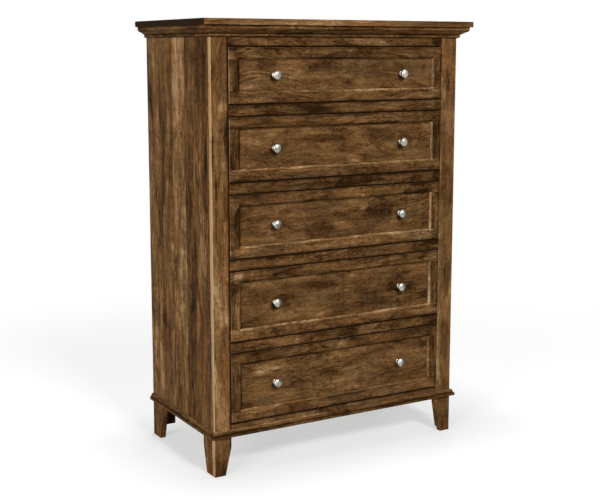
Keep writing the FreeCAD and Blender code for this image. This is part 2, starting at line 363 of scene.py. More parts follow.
# %% [markdown]
# The brown stain under lacquer
#
# The tone picks a colour from a ramp that runs from nearly black brown to tan,
# chosen for a stain that goes dark where the wood drinks it, and two slow
# clouds make it redder here and duller there. A satin lacquer lies on top: its
# shine is a little uneven, and the pores print through it, so roughness and a
# very shallow bump follow the same streaks.

# %% Stain colours, dark to light
stain_stops = (
    (0.05, (0.018, 0.0080, 0.0020)),
    (0.28, (0.052, 0.0240, 0.0080)),
    (0.52, (0.115, 0.0570, 0.0198)),
    (0.74, (0.198, 0.1040, 0.0390)),
    (1.00, (0.440, 0.2750, 0.1380)),
)
redder = (1.0, 0.85, 0.73, 1.0)
duller = (0.86, 0.98, 1.12, 1.0)
pore_colour = (0.02, 0.011, 0.006, 1.0)
print("stain colours:", len(stain_stops))


# %% Stain, and lacquer over it
def stain(bench, tone, place, warmth=0.8):
    """The stain's colour for a tone, a little redder in some places and duller in others."""
    colour = coloured(bench, tone, stain_stops)
    warm = soft_step(bench, cloud(bench, place, (4.0, 17.0, 17.0), 4.0, 0.5), 0.42, 0.66)
    dull = soft_step(bench, cloud(bench, place, (3.0, 13.0, 13.0), 4.0, 0.5), 0.52, 0.70)
    colour = tinted(bench, warm * warmth, colour, redder, "MULTIPLY")
    return tinted(bench, dull * 0.8, colour, duller, "MULTIPLY")


def lacquered(bench, material, colour, tone, place, shine=0.47, arris=0.0):
    """Satin lacquer over the given colour, thicker and glossier on an arris."""
    pores = cloud(bench, place, (45.0, 1300.0, 1300.0), 2.0)
    dark_pores = soft_step(bench, pores, 0.52, 0.72)
    colour = tinted(bench, dark_pores * 0.30, colour, pore_colour)
    relief = {"Strength": 0.35, "Distance": 0.4 * mm, "Height": tone * 0.6 - dark_pores * 0.5}
    bump = bench.node("ShaderNodeBump", {}, relief)
    inputs = {
        "Base Color": colour,
        "Roughness": tone * 0.10 + (shine - 0.05),
        "Specular IOR Level": 0.006,
        "Coat Weight": arris,
        "Coat Roughness": 0.28,
        "Normal": bump,
    }
    shader = bench.node("ShaderNodeBsdfPrincipled", {}, inputs)
    bench.node("ShaderNodeOutputMaterial", {}, {"Surface": shader})
    return material


# %% [markdown]
# Marks in fixed places
#
# Some tones have a fixed place: a strip along an edge, which in this chest is
# mostly painted shade in gaps and hollows and painted highlights on edges that
# face the light, and single pools, where a board drank more or less than the
# rest. A pool is an ellipse whose rim is made ragged with noise. Pools are
# listed, in millimetres, where this chest has its darkest and lightest patches.


# %% Strips and pools
def folded(axes, axis):
    """A distance from the middle: x both ways alike, or only to the left or to the right."""
    if axis == "x":
        return abs(axes["x"])
    if axis == "left":
        return axes["x"] * -1.0
    return axes["x"] if axis == "right" else axes[axis]


def strip(bench, coordinate, middle, half, blur=0.4):
    """One within half of the middle, nought outside; blur is the share of half over which it fades."""
    return soft_step(bench, abs(coordinate - middle), half * (1 - blur), half * (1 + blur), 1.0, 0.0)


def pooled(bench, tone, axes, place, pools, axis="x"):
    """Adds pools of stain to a tone.

    A pool is (place along the axis, height, half width, half height, change of tone),
    the lengths in millimetres.
    """
    ragged = cloud(bench, place, (16.0, 30.0, 30.0), 5.0, 0.6, 0.62) * 2.4 - 1.2
    for middle, height, half_width, half_height, change in pools:
        across = (axes[axis] - middle * mm) / (half_width * mm)
        up = (axes["z"] - height * mm) / (half_height * mm)
        reach = across * across + up * up + ragged
        tone = tone + soft_step(bench, reach, 0.2, 1.7, change, 0.0)
    return tone


# %% [markdown]
# Sides and top
#
# The side is a panel of upright boards glued edge to edge, and each board took
# the stain in its own way. The top is the same thing lying down, and darker
# towards its right end. Its ends are end grain, which soaks up so much stain
# that it turns almost black, while its front edge is long grain and stays light.


# %% How a glued-up panel is finished
line_blur = 1.5 * mm
top_darkens_until = 0.42


def glued_panel(name, order, line_axis, lines, tones, ends=(), strength=1.0, pools=()):
    """Boards side by side along line_axis, with a tone of its own for each.

    An end is (axis, distance from the middle, change of tone past it).
    """
    material, bench = new_finish(name)
    axes = axes_of(bench)
    board = count_passed(axes[line_axis], lines)
    mirrored = (axes["x"] > 0.0) * 7.0
    place = own_tree(bench, axes, order, board + mirrored, 0.75)
    tone = wood_tone(bench, place, strength) + tones[0]
    for line, before, after in zip(lines, tones, tones[1:]):
        crossed = soft_step(bench, axes[line_axis], line - line_blur, line + line_blur)
        tone = tone + crossed * (after - before)
    if ends:
        tone = tone + soft_step(bench, axes["x"], 0.0, top_darkens_until) * -0.20
    for axis, limit, change in ends:
        tone = tone + soft_step(bench, abs(axes[axis]), limit - line_blur, limit) * change
    if pools:
        tone = pooled(bench, tone, axes, place, pools, "y")
    return lacquered(bench, material, stain(bench, tone, place), tone, place)


# %% Sides and top
side_lines = [front_plane + d * mm for d in (27, 118, 190, 290, 425)]
side_tones = (-0.02, -0.03, -0.10, 0.14, 0.01, 0.09)
side_pools = [
    (13, 240, 60, 230, -0.14), (10, 1250, 45, 230, 0.16), (-155, 860, 38, 280, 0.16),
    (-72, 350, 34, 330, -0.06), (-176, 1350, 22, 130, -0.18), (-140, 1330, 14, 150, -0.20),
    (-185, 1010, 14, 75, -0.28), (-110, 740, 22, 60, -0.20), (-90, 560, 26, 90, -0.16),
    (-60, 1290, 26, 110, 0.12), (225, 60, 70, 75, -0.16),
]
side_finish = glued_panel("side_boards", "zyx", "y", side_lines, side_tones, pools=side_pools)
top_lines = [front_plane + d * mm for d in (60, 165, 290, 390)]
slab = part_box("top_panel")[1]
top_ends = [("x", slab.x - 1 * mm, -0.70), ("y", slab.y - 1 * mm, 0.08)]
top_tones = (0.08, -0.04, 0.05, -0.06, 0.02)
top_finish = glued_panel("top_boards", "xyz", "y", top_lines, top_tones, top_ends, strength=0.7)
print("glue lines on a side:", len(side_lines), "on the top:", len(top_lines))

# %% [markdown]
# Rails and stiles
#
# The face frame is single boards: stiles stand up at the corners and rails lie
# between the drawers. Rails are told apart by their height, so that no two have
# the same figure. Painted shade darkens the edges along the openings, the faces
# inside a gap most of all. Seen from the side, the edge of the stile is a lighter
# line down the corner.


# %% How a single board is finished
def single_boards(
    name, order, lines=(), pairs=False, shade=0.0, strength=1.0, warmth=0.8,
    marks=(), bands=(), arris=(), pools=(), extra=None
):
    """Boards told apart by height, and by left and right where they come in pairs.

    A mark shades everything past a place, a band shades a strip around a place,
    and an arris is a strip where the lacquer is thick. Extra is a function that
    gives any other change of tone.
    """
    material, bench = new_finish(name)
    axes = axes_of(bench)
    board = count_passed(axes["z"], lines) + 3.0
    if pairs:
        board = (axes["x"] > 0.0) * 9.0 + board
    place = own_tree(bench, axes, order, board)
    tone = wood_tone(bench, place, strength) + shade
    for axis, low, high, change in marks:
        tone = tone + soft_step(bench, folded(axes, axis), low, high) * change
    for axis, middle, half, change in bands:
        tone = tone + strip(bench, folded(axes, axis), middle, half) * change
    if pools:
        tone = pooled(bench, tone, axes, place, pools)
    if extra:
        tone = tone + extra(bench, axes)
    gloss = 0.0
    for axis, middle, half, weight in arris:
        gloss = strip(bench, folded(axes, axis), middle, half) * weight + gloss
    return lacquered(bench, material, stain(bench, tone, place, warmth), tone, place, arris=gloss)


# %% Heights of the fronts, the rails and the openings
front_gap = 2.4 * mm
front_boxes = [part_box(f"drawer_{n}_front_frame") for n in drawers]
front_heights = [(low.z, high.z) for low, high in front_boxes]
lows = sorted(low for low, high in front_heights)
between = [low - 20 * mm for low in lows[1:]]
drawer_middles = [(low + high) / 2 for low, high in front_heights]
opening_edges = [low - front_gap for low, high in front_heights]
opening_edges += [high + front_gap for low, high in front_heights]
opening_side = half_case - 60 * mm
print("drawer fronts from", [round(low, 3) for low in lows])


# %% Stiles
corner_lightening = 0.52
narrow_from = 150 * mm
narrow_until = 750 * mm


def light_corner_strip(bench, axes):
    """The outer face of a stile, lighter on a strip that narrows above the base moulding."""
    outside = soft_step(bench, abs(axes["x"]), half_case - 2.2 * mm, half_case - 1.0 * mm)
    above_base = soft_step(bench, axes["z"], narrow_from - 30 * mm, narrow_from + 10 * mm)
    narrowing = soft_step(bench, axes["z"], narrow_from, narrow_until, 11 * mm, 0.0)
    behind = axes["y"] - front_plane + above_base * narrowing
    return outside * soft_step(bench, behind, 12 * mm, 20 * mm, corner_lightening, 0.0)


stile_pools = [
    (-464, 1045, 4, 62, -0.34), (-453, 925, 4, 46, -0.40), (-454, 825, 4, 54, -0.28),
    (-415, 1075, 8, 74, -0.24), (-430, 1180, 18, 15, 0.16), (-420, 880, 8, 60, -0.15),
    (445, 560, 14, 60, -0.25), (440, 330, 18, 75, -0.22), (445, 70, 40, 80, -0.16),
    (-435, 440, 70, 270, 0.10), (-435, 1330, 70, 130, -0.12), (-435, 1000, 60, 130, -0.07),
    (-425, 50, 50, 95, -0.12), (435, 880, 34, 60, -0.16), (435, 190, 34, 60, -0.12),
    (435, 1200, 34, 170, -0.08),
]
# Painted shade on the left stile beside the gap, and a painted highlight on the inner arris of the right
# stile, which faces the light from the left.
stile_gap_shade_and_light = [
    ("left", opening_side + 1.6 * mm, 2.2 * mm, -0.6),
    ("left", opening_side + 5 * mm, 3 * mm, -0.16),
    ("right", opening_side, 1.6 * mm, 0.17),
]
stile_finish = single_boards(
    "stiles", "zxy", pairs=True, shade=0.13, pools=stile_pools, strength=0.68, bands=stile_gap_shade_and_light,
    arris=[("x", half_case, 2 * mm, 0.16)], extra=light_corner_strip,
)
print("pools of stain on the stiles:", len(stile_pools))

# %% Rails
rail_pools = [
    (-20, 925, 95, 16, -0.20), (-100, 1168, 40, 15, -0.20), (-395, 1165, 22, 16, -0.22),
    (385, 1382, 24, 14, -0.35), (340, 680, 60, 14, -0.22), (30, 415, 50, 16, -0.16),
    (395, 925, 20, 16, -0.20), (395, 1168, 20, 16, -0.20), (-260, 925, 130, 26, -0.10),
    (280, 925, 110, 26, -0.12), (-260, 416, 120, 26, 0.13), (260, 150, 170, 26, -0.12),
    (-260, 150, 130, 26, -0.05),
]
# Painted shade: the faces inside a gap are darkened, and further in most of it is taken back; dark lines of
# painted shade run along the edges of the openings.
gap_shade = ("y", front_plane + 0.8 * mm, front_plane + 2.4 * mm, -0.6)
past_the_gap = ("y", front_plane + 7 * mm, front_plane + 12 * mm, 0.5)
rail_gap_shade = [("z", edge, 2.2 * mm, -0.4) for edge in opening_edges]
rail_gap_shade += [("z", edge, 6 * mm, -0.12) for edge in opening_edges]
rail_finish = single_boards(
    "rails", "xzy", drawer_middles, shade=-0.07, warmth=0.25, pools=rail_pools,
    marks=[gap_shade, past_the_gap], bands=rail_gap_shade,
)
print("rail edges with a dark line:", len(opening_edges))

# %% [markdown]
# Mouldings
#
# The crown and the base mouldings have painted shade in their hollows and painted
# highlights on their noses. These are level all the way round, so they are bands
# at a height, and the front lengths and the returns share them.

# %% Mouldings and foot blocks
case_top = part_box("top_panel")[0].z
base_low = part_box("base_front")[0].z
half_way_up = 0.7
# Painted shade in the hollows and painted highlights on the noses, as (millimetres below the top of the
# case or above the bottom of the base, half width, change of tone).
crown_shade_and_highlights = (
    (1, 1.8, -0.30), (7.5, 1.6, 0.10), (13, 2.4, -0.10), (18, 1.6, 0.13),
    (26, 1.8, -0.32), (30, 1.6, 0.10), (35.5, 1.4, -0.25),
)
base_shade_and_highlights = ((10.6, 1.8, -0.38), (21, 1.2, 0.20))
moulding_shade_and_highlights = [("z", case_top - d * mm, half * mm, change) for d, half, change in crown_shade_and_highlights]
moulding_shade_and_highlights += [("z", base_low + d * mm, half * mm, change) for d, half, change in base_shade_and_highlights]
base_pools = [
    (-350, base_low / mm + 6, 140, 10, -0.20),
    (180, base_low / mm + 12, 300, 30, -0.12),
]
front_moulding_finish = single_boards(
    "front_mouldings", "xzy", [half_way_up], shade=-0.07, bands=moulding_shade_and_highlights, pools=base_pools
)
return_finish = single_boards(
    "moulding_returns", "yzx", [half_way_up], pairs=True, shade=-0.04, bands=moulding_shade_and_highlights
)
block_finish = single_boards("foot_blocks", "zxy", pairs=True, shade=-0.1)
print("bands on the mouldings:", len(moulding_shade_and_highlights))

# %% [markdown]
# Framed drawer fronts
#
# Each drawer front is a flat panel in a frame of four members. The rails of the
# frame run right through and the stiles stand between them, so the grain turns
# at the joint. One finish covers the whole frame: a mask is one on the stiles,
# and there it swaps the axes.

# %% Which member of a frame a point is in
frame_member = 38 * mm
half_front = front_boxes[0][1].x
stile_inner = half_front - frame_member


def frame_boards(bench, axes):
    """A point's place in its own member, and masks: between the rails, on a stile, on the upper rail."""
    inside = 0.0
    for low, high in front_heights:
        inside = (axes["z"] > low + frame_member) * (axes["z"] < high - frame_member) + inside
    upright = inside * (abs(axes["x"]) > stile_inner)
    drawer = count_passed(axes["z"], between)
    upper = count_passed(axes["z"], drawer_middles)
    side = (axes["x"] > 0.0) * 5.0
    lying = own_tree(bench, axes, "xzy", drawer + upper + 20.0)
    standing = own_tree(bench, axes, "zxy", drawer + side + 40.0)
    mix = {"data_type": "VECTOR"}
    place = bench.node("ShaderNodeMix", mix, {0: upright, 4: lying, 5: standing}, output=1)
    return place, inside, upright, (upper - drawer) * (1.0 - inside)


print("frame members start at x =", round(stile_inner, 4))

# %% [markdown]
# Light on the frames
#
# Light comes from above and from the left, so the lower and the right bevels of
# a frame shine and the other two lie in shade. The finish paints both into the
# tone, as painted highlight and painted shade, with a little more lacquer on the
# lit bevels. The rims carry painted shade along the gap, the edge inside it most
# of all, and the left arris a painted highlight. The arris itself, polished by
# cloths, has the most lacquer shine.


# %% Bevels and rims of the frames
bevel_width = 6.4 * mm
rim_width = 6 * mm


def bevel(bench, coordinate, panel_edge, outward):
    """A strip on the bevel that starts at an edge of the panel and goes outward, plus or minus."""
    return strip(bench, coordinate, panel_edge + outward * bevel_width / 2, bevel_width / 2, 0.15)


def bevels(bench, axes, inside):
    """The bevels that catch the light, and those that lie in shade."""
    lit = bevel(bench, axes["x"], stile_inner, 1) * inside * 1.5
    shaded = bevel(bench, axes["x"], -stile_inner, -1) * inside
    within = abs(axes["x"]) < stile_inner + bevel_width
    for low, high in front_heights:
        lit = lit + bevel(bench, axes["z"], low + frame_member, -1) * within
        shaded = shaded + bevel(bench, axes["z"], high - frame_member, 1) * within
    return lit, shaded


def rims(bench, axes):
    """The arris all round a front, its left part for a painted highlight, and a wider strip of painted
    shade along the gap.
    """
    # left is the strip of painted highlight, dark the strip of painted shade.
    arris = strip(bench, abs(axes["x"]), half_front, 1.8 * mm)
    left = strip(bench, axes["x"], -half_front, 1.8 * mm)
    dark = strip(bench, axes["x"], half_front, rim_width, 0.7)
    for low, high in front_heights:
        arris = arris + strip(bench, axes["z"], low, 2 * mm) + strip(bench, axes["z"], high, 2 * mm)
        dark = dark + strip(bench, axes["z"], low, rim_width, 0.7)
        dark = dark + strip(bench, axes["z"], high, rim_width + 1 * mm, 0.7)
    return arris, left, dark


# %% Finish of the frames
# The pool at height 205 is painted shade: it dims the painted highlight on the lower bevel of the lowest
# drawer.
frame_pools = [
    (270, 1345, 130, 24, -0.12), (210, 1207, 230, 24, -0.11), (150, 1130, 250, 24, -0.07),
    (-376, 1080, 22, 60, -0.10), (-380, 1276, 22, 75, -0.13), (0, 205, 460, 7, -0.17),
    (376, 1047, 22, 80, -0.07), (270, 721, 120, 24, -0.08), (-260, 455, 120, 24, -0.10),
    (-376, 575, 24, 100, 0.25), (-110, 643, 280, 24, -0.07), (376, 510, 22, 70, 0.10),
    (376, 335, 22, 45, -0.26), (376, 840, 22, 50, 0.07), (20, 376, 200, 24, 0.08),
]


def framed_front(name):
    material, bench = new_finish(name)
    axes = axes_of(bench)
    place, inside, upright, head = frame_boards(bench, axes)
    lit, shaded = bevels(bench, axes, inside)
    arris, left_arris_highlight, rim_shade = rims(bench, axes)
    behind = soft_step(bench, axes["y"], front_plane + 1.4 * mm, front_plane + 2.6 * mm)
    clear = soft_step(bench, axes["y"], front_plane + 6 * mm, front_plane + 10 * mm)
    # The edge of a front inside the gap, for painted shade.
    gap_side_shade = arris * behind * (1.0 - clear)
    tone = wood_tone(bench, place) - upright * 0.10 - head * 0.08 - 0.03
    # Painted light: a highlight on the left arris and the lit bevels, shade on the shaded bevels, the edge
    # inside the gap and the rims along it.
    tone = tone + left_arris_highlight * (1.0 - behind) * 0.14 + lit * 0.24
    tone = tone - shaded * 0.12 - gap_side_shade * 0.66 - rim_shade * 0.14
    tone = pooled(bench, tone, axes, place, frame_pools)
    gloss = arris * (1.0 - behind) * 0.34 + lit * 0.08
    return lacquered(bench, material, stain(bench, tone, place, 0.25), tone, place, arris=gloss)


front_frame_finish = framed_front("drawer_front_frames")
print("pools on the frames:", len(frame_pools))

# %% [markdown]
# Drawer-front panels
#
# A panel is one wide board, with painted shade along the frame, where it lies in the recess.
# Each knob has a painted shadow round it, most of it below.

# %% Where the knobs are
head_radius = 14.3  # of a knob, in millimetres
knob_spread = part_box("drawer_1_knobs")[1].x - head_radius * mm
knob_heights = [middle_height(f"drawer_{n}_knobs") for n in drawers]
print("knobs", round(2 * knob_spread, 3), "apart, at heights", [round(h, 3) for h in knob_heights])

# %% Finish of the panels
# Painted shade on the panel along the edges of its frame.
panel_recess_shade = [("x", stile_inner, 1.6 * mm, -0.30)]
panel_recess_shade += [("z", high - frame_member, 3 * mm, -0.25) for low, high in front_heights]
panel_recess_shade += [("z", low + frame_member, 1.5 * mm, -0.20) for low, high in front_heights]
panel_pools = [
    (20, 1276, 210, 60, -0.09), (0, 290, 300, 70, 0.03), (120, 1047, 230, 60, -0.06),
    (-250, 283, 90, 80, 0.09), (-60, 1298, 95, 14, -0.12), (35, 1248, 15, 9, -0.22),
    (190, 1226, 34, 9, -0.18), (-230, 1275, 110, 26, 0.10), (-330, 1276, 36, 60, 0.12),
    (-60, 1070, 75, 15, -0.20), (160, 1075, 68, 20, -0.22), (55, 1000, 30, 14, 0.14),
    (-300, 1060, 40, 25, 0.08), (170, 820, 56, 32, -0.20), (-70, 775, 62, 25, -0.24),
    (75, 840, 34, 18, 0.12), (-60, 590, 50, 18, -0.12), (140, 510, 60, 18, -0.14),
    (-200, 520, 120, 40, 0.05), (210, 260, 60, 30, -0.12), (40, 230, 60, 20, -0.08),
    (-290, 330, 55, 16, 0.14),
]


def knob_shadow(bench, axes):
    """Painted shadow round each knob, centred a little below it."""
    across = abs(axes["x"]) - knob_spread
    shadow_round_knob = 0.0
    for height in knob_heights:
        off = distance(bench, across, axes["z"] - (height - 6 * mm))
        shadow_round_knob = soft_step(bench, off, 8 * mm, 20 * mm, -0.30, 0.0) + shadow_round_knob
    return shadow_round_knob


front_panel_finish = single_boards(
    "drawer_front_panels", "xzy", between, shade=-0.02, strength=0.82, warmth=0.25,
    bands=panel_recess_shade, pools=panel_pools, extra=knob_shadow,
)
print("pools on the panels:", len(panel_pools))

# %% [markdown]
# Pale woods inside
#
# Drawer boxes are a pale hardwood with clear lacquer, and the hidden rails and
# cleats are a plainer one. The bottoms are plywood. These need quieter colours:
# the same rings and streaks, on a narrow ramp of honey tones.


# %% Finishes of the pale woods
def pale_wood(name, order, dark, light, pairs=False):
    material, bench = new_finish(name)
    axes = axes_of(bench)
    board = count_passed(axes["z"], between) + 60.0
    if pairs:
        board = (axes["x"] > 0.0) * 4.0 + board
    place = own_tree(bench, axes, order, board)
    tone = wood_tone(bench, place, 0.9)
    colour = coloured(bench, tone, ((0.2, dark), (0.8, light)))
    return lacquered(bench, material, colour, tone, place, shine=0.42)


box_side_finish = pale_wood("box_sides", "yzx", (0.46, 0.29, 0.15), (0.68, 0.50, 0.31), pairs=True)
box_end_finish = pale_wood("box_ends", "xzy", (0.45, 0.28, 0.145), (0.66, 0.48, 0.30))
box_bottom_finish = pale_wood("box_bottoms", "xyz", (0.50, 0.34, 0.19), (0.70, 0.53, 0.34))
inner_finish = pale_wood("hidden_rails", "xzy", (0.38, 0.25, 0.13), (0.58, 0.42, 0.25))

# %% [markdown]
# The back
#
# It is one sheet of stained plywood, nailed into the rabbets of the sides. The
# nails lie flush, so they are only dots in the finish.

# %% The back, with its nails
nail_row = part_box("back_panel")[1].x - 7 * mm
nail_spacing = 150 * mm


def nail_heads(bench, axes):
    """Dark dots in two upright rows, at the same distance left and right of the middle."""
    across = abs(axes["x"]) - nail_row
    up = bench.sum("PINGPONG", axes["z"], nail_spacing / 2)
    return soft_step(bench, distance(bench, across, up), 1.8 * mm, 2.6 * mm, -0.6, 0.0)


back_finish = single_boards("back_plywood", "zxy", shade=0.2, strength=0.7, extra=nail_heads)
print("nails in rows at x =", round(nail_row, 3), "left and right")

# %% [markdown]
# Metals
#
# The slides are zinc-plated steel, which shows soft mottled crystals, and the
# knobs are satin nickel, warm and a little grey. On the knobs the mottling from
# dark to light is painted reflection, and some have a painted dark reflection on
# the right side. Metal is all reflection, so its roughness follows the mottling
# and a very fine grain goes into the bump.


# %% Finishes of the metals
def plated(name, dark, light, rough, mottle, right_side_shade=0.0):
    """A plating mottled from dark to light; the last argument paints a dark reflection on the right side of
    some knobs.
    """
    material, bench = new_finish(name)
    axes = axes_of(bench)
    place = joined(bench, axes["x"], axes["y"], axes["z"])
    patch = cloud(bench, place, (mottle, mottle, mottle), 3.0)
    if right_side_shade:
        right_hand = (axes["x"] > 0.0) * 2.0 - 1.0
        off_centre = (abs(axes["x"]) - knob_spread) * right_hand
        some = soft_step(bench, cloud(bench, place, (7.0, 1.0, 7.0), 1.0), 0.44, 0.56)
        patch = patch + 0.06 - soft_step(bench, off_centre, -1 * mm, 4 * mm) * some * right_side_shade
    fine = cloud(bench, place, (900.0, 900.0, 900.0), 2.0)
    colour = coloured(bench, patch, ((0.3, dark), (0.7, light)))
    bump = bench.node("ShaderNodeBump", {}, {"Strength": 0.12, "Distance": 0.2 * mm, "Height": fine})
    inputs = {
        "Base Color": colour,
        "Metallic": 1.0,
        "Roughness": patch * 0.16 + (rough - 0.08),
        "Normal": bump,
    }
    shader = bench.node("ShaderNodeBsdfPrincipled", {}, inputs)
    bench.node("ShaderNodeOutputMaterial", {}, {"Surface": shader})
    return material


slide_finish = plated("zinc_steel", (0.42, 0.43, 0.45), (0.62, 0.63, 0.65), 0.36, 180.0)
# The knobs' wide mottling and darker right side are painted reflection.
nickel_finish = plated("satin_nickel", (0.12, 0.12, 0.10), (0.50, 0.475, 0.40), 0.32, 75.0, 0.36)
print("materials made:", len(bpy.data.materials))

# %% [markdown]
# Hand out the finishes
#
# A part keeps its shape and only gets a new material in its slots.


# %% Finish every solid part
def finish_part(name, material):
    slots = parts[name].material_slots
    if not slots:
        parts[name].data.materials.append(material)
    for one in slots:
        one.material = material


case_finishes = (
    (top_finish, ["top_panel"]),
    (side_finish, ["side_left", "side_right"]),
    (stile_finish, ["stile_left", "stile_right"]),
    (rail_finish, ["top_rail", "drawer_rails", "bottom_rail"]),
    (front_moulding_finish, ["crown_front", "base_front"]),
    (return_finish, ["crown_returns", "base_returns"]),
    (block_finish, ["front_foot_blocks", "rear_foot_blocks"]),
    (back_finish, ["back_panel", "bottom_panel"]),
    (inner_finish, ["back_rails", "top_cleats", "slide_spacers"]),
    (slide_finish, ["slide_case_members"] + [f"slide_{n}_middle" for n in drawers]),
)
drawer_finishes = {
    "front_frame": front_frame_finish,
    "front_panel": front_panel_finish,
    "box_sides": box_side_finish,
    "box_ends": box_end_finish,
    "box_bottom": box_bottom_finish,
    "slide_members": slide_finish,
    "knobs": nickel_finish,
}
for material, names in case_finishes:
    for name in names:
        finish_part(name, material)
for n in drawers:
    for name, material in drawer_finishes.items():
        finish_part(f"drawer_{n}_{name}", material)
print("finished parts:", len(parts))

# %% [markdown]
# The knobs
#
# A knob is turned on a lathe: a thin flange on the wood, a neck that waists in,
# and a domed head with a soft rim. Geometry Nodes can turn it too. A flat grid
# is rolled up, one of its directions going round and the other along the
# profile, and two curves tell how far out and how wide the profile is. The same
# tree then sets a knob at each of two places, so each drawer takes one run.

# %% The knob's profile, radius and reach in millimetres
reach = 28.0
rim_radius = 14.1
dome_low = 22.3
flange_profile = [(0.0, 0.0), (8.2, 0.0), (8.4, 0.6), (8.0, 1.2)]
neck_profile = [(6.6, 1.9), (5.5, 3.6), (5.0, 6.5), (5.1, 9.5), (5.8, 12.2)]
flare_profile = [(7.4, 14.4), (9.8, 16.6), (12.2, 18.4), (13.7, 19.8)]
rim_profile = [(head_radius, 21.2), (rim_radius, dome_low)]
dome_height = reach - dome_low
dome_radius = (rim_radius**2 + dome_height**2) / (2 * dome_height)
dome_half_angle = math.asin(rim_radius / dome_radius)
dome_steps = 9
dome_profile = []
for step in range(1, dome_steps + 1):
    angle = dome_half_angle * (1 - step / dome_steps)
    dome_profile.append((dome_radius * math.sin(angle), reach - dome_radius * (1 - math.cos(angle))))
knob_profile = flange_profile + neck_profile + flare_profile + rim_profile + dome_profile
print("profile points:", len(knob_profile), "dome radius", round(dome_radius, 1))

# %% Share of the way along the profile
lengths = [0.0]
for before, after in zip(knob_profile, knob_profile[1:]):
    lengths.append(lengths[-1] + math.dist(before, after))
width_points = [(s / lengths[-1], r / head_radius) for s, (r, out) in zip(lengths, knob_profile)]
reach_points = [(s / lengths[-1], out / reach) for s, (r, out) in zip(lengths, knob_profile)]
print("length of the profile in millimetres:", round(lengths[-1], 1))


# %% A Geometry Nodes tree with named inputs
def new_geometry_tree(name, inputs):
    """A tree with one geometry output, and the given (name, kind, value) inputs."""
    tree = bpy.data.node_groups.new(name, "GeometryNodeTree")
    tree.interface.new_socket("Geometry", in_out="OUTPUT", socket_type="NodeSocketGeometry")
    for label, kind, value in inputs:
        socket = tree.interface.new_socket(label, in_out="INPUT", socket_type=kind)
        if value is not None:
            socket.default_value = value
    bench = Bench(tree)
    entry = bench.node("NodeGroupInput")
    return tree, bench, entry


def run_tree(tree, name, values, body, places=()):
    """Runs a tree once and keeps what it makes as a plain mesh that rides on a body.

    Places are (point, turn) pairs, which a tree with a geometry input finds as its points.
    """
    start = bpy.data.meshes.new(name)
    start.from_pydata([point for point, turn in places], [], [])
    if places:
        turns = start.attributes.new("turn", "FLOAT_VECTOR", "POINT")
        for item, (point, turn) in zip(turns.data, places):
            item.vector = turn
    holder = bpy.data.objects.new(name, start)
    bpy.context.scene.collection.objects.link(holder)
    modifier = holder.modifiers.new("make", "NODES")
    modifier.node_group = tree
    for item in tree.interface.items_tree:
        if item.item_type == "SOCKET" and item.in_out == "INPUT" and item.name in values:
            modifier[item.identifier] = values[item.name]
    evaluated = holder.evaluated_get(bpy.context.evaluated_depsgraph_get())
    made = bpy.data.meshes.new_from_object(evaluated)
    holder.modifiers.remove(modifier)
    holder.data = made
    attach(holder, body)
    return holder


# %% A lathe for knobs and screws
merge_distance = 0.02 * mm


class Lathe:
    """A square grid to be rolled up: one way goes round, the other along a profile."""

    def __init__(self, bench, round_steps, profile_steps):
        self.bench = bench
        size = {"Size X": 1.0, "Size Y": 1.0}
        size.update({"Vertices X": round_steps + 1, "Vertices Y": profile_steps + 1})
        self.grid = bench.node("GeometryNodeMeshGrid", {}, size)
        spot = bench.node("ShaderNodeSeparateXYZ", {}, {0: bench.node("GeometryNodeInputPosition")})
        turn = (spot + 0.5) * (2.0 * math.pi)
        self.along = spot.other("Y") + 0.5
        self.cosine = bench.sum("COSINE", turn)
        self.sine = bench.sum("SINE", turn)

    def profile(self, points):
        """The height of a curve of straight runs, at each place along the profile."""
        return self.bench.node("ShaderNodeFloatCurve", {"points": points}, {"Value": self.along})

    def turned(self, width, out):
        """The closed shape, facing minus Y."""
        place = joined(self.bench, width * self.cosine, out * -1.0, width * self.sine)
        inputs = {"Geometry": self.grid, "Position": place}
        shape = self.bench.node("GeometryNodeSetPosition", {}, inputs)
        inputs = {"Geometry": shape, "Distance": merge_distance}
        return self.bench.node("GeometryNodeMergeByDistance", {}, inputs)


def close_tree(bench, points, shape, finish, turns=None):
    """Sets a shape on points, makes it real and gives it its finish."""
    inputs = {"Points": points, "Instance": shape}
    if turns is not None:
        inputs["Rotation"] = turns
    made = bench.node("GeometryNodeInstanceOnPoints", {}, inputs)
    made = bench.node("GeometryNodeRealizeInstances", {}, {"Geometry": made})
    made = bench.node("GeometryNodeSetMaterial", {}, {"Geometry": made, "Material": finish})
    bench.node("NodeGroupOutput", {}, {0: made})


# %% The knob tree
knob_inputs = [
    ("Reach", "NodeSocketFloat", reach * mm),
    ("Head Radius", "NodeSocketFloat", head_radius * mm),
    ("Half Spread", "NodeSocketFloat", knob_spread),
    ("Foot", "NodeSocketVector", (0.0, 0.0, 0.0)),
    ("Finish", "NodeSocketMaterial", None),
]
knob_tree, bench, entry = new_geometry_tree("turned_knob_pair", knob_inputs)
lathe = Lathe(bench, round_steps=40, profile_steps=64)
width = lathe.profile(width_points) * entry.other("Head Radius")
out = lathe.profile(reach_points) * entry.other("Reach")
knob = bench.node("GeometryNodeSetShadeSmooth", {}, {0: lathe.turned(width, out), "Shade Smooth": True})
sideways = joined(bench, entry.other("Half Spread"), 0.0, 0.0)
right_foot = moved(bench, entry.other("Foot"), sideways)
left_foot = moved(bench, entry.other("Foot"), stretched(bench, sideways, (-1.0, 1.0, 1.0)))
ends = {"Count": 2, "Start Location": left_foot, "Offset": right_foot}
pair = bench.node("GeometryNodeMeshLine", {"mode": "END_POINTS"}, ends)
close_tree(bench, pair, knob, entry.other("Finish"))

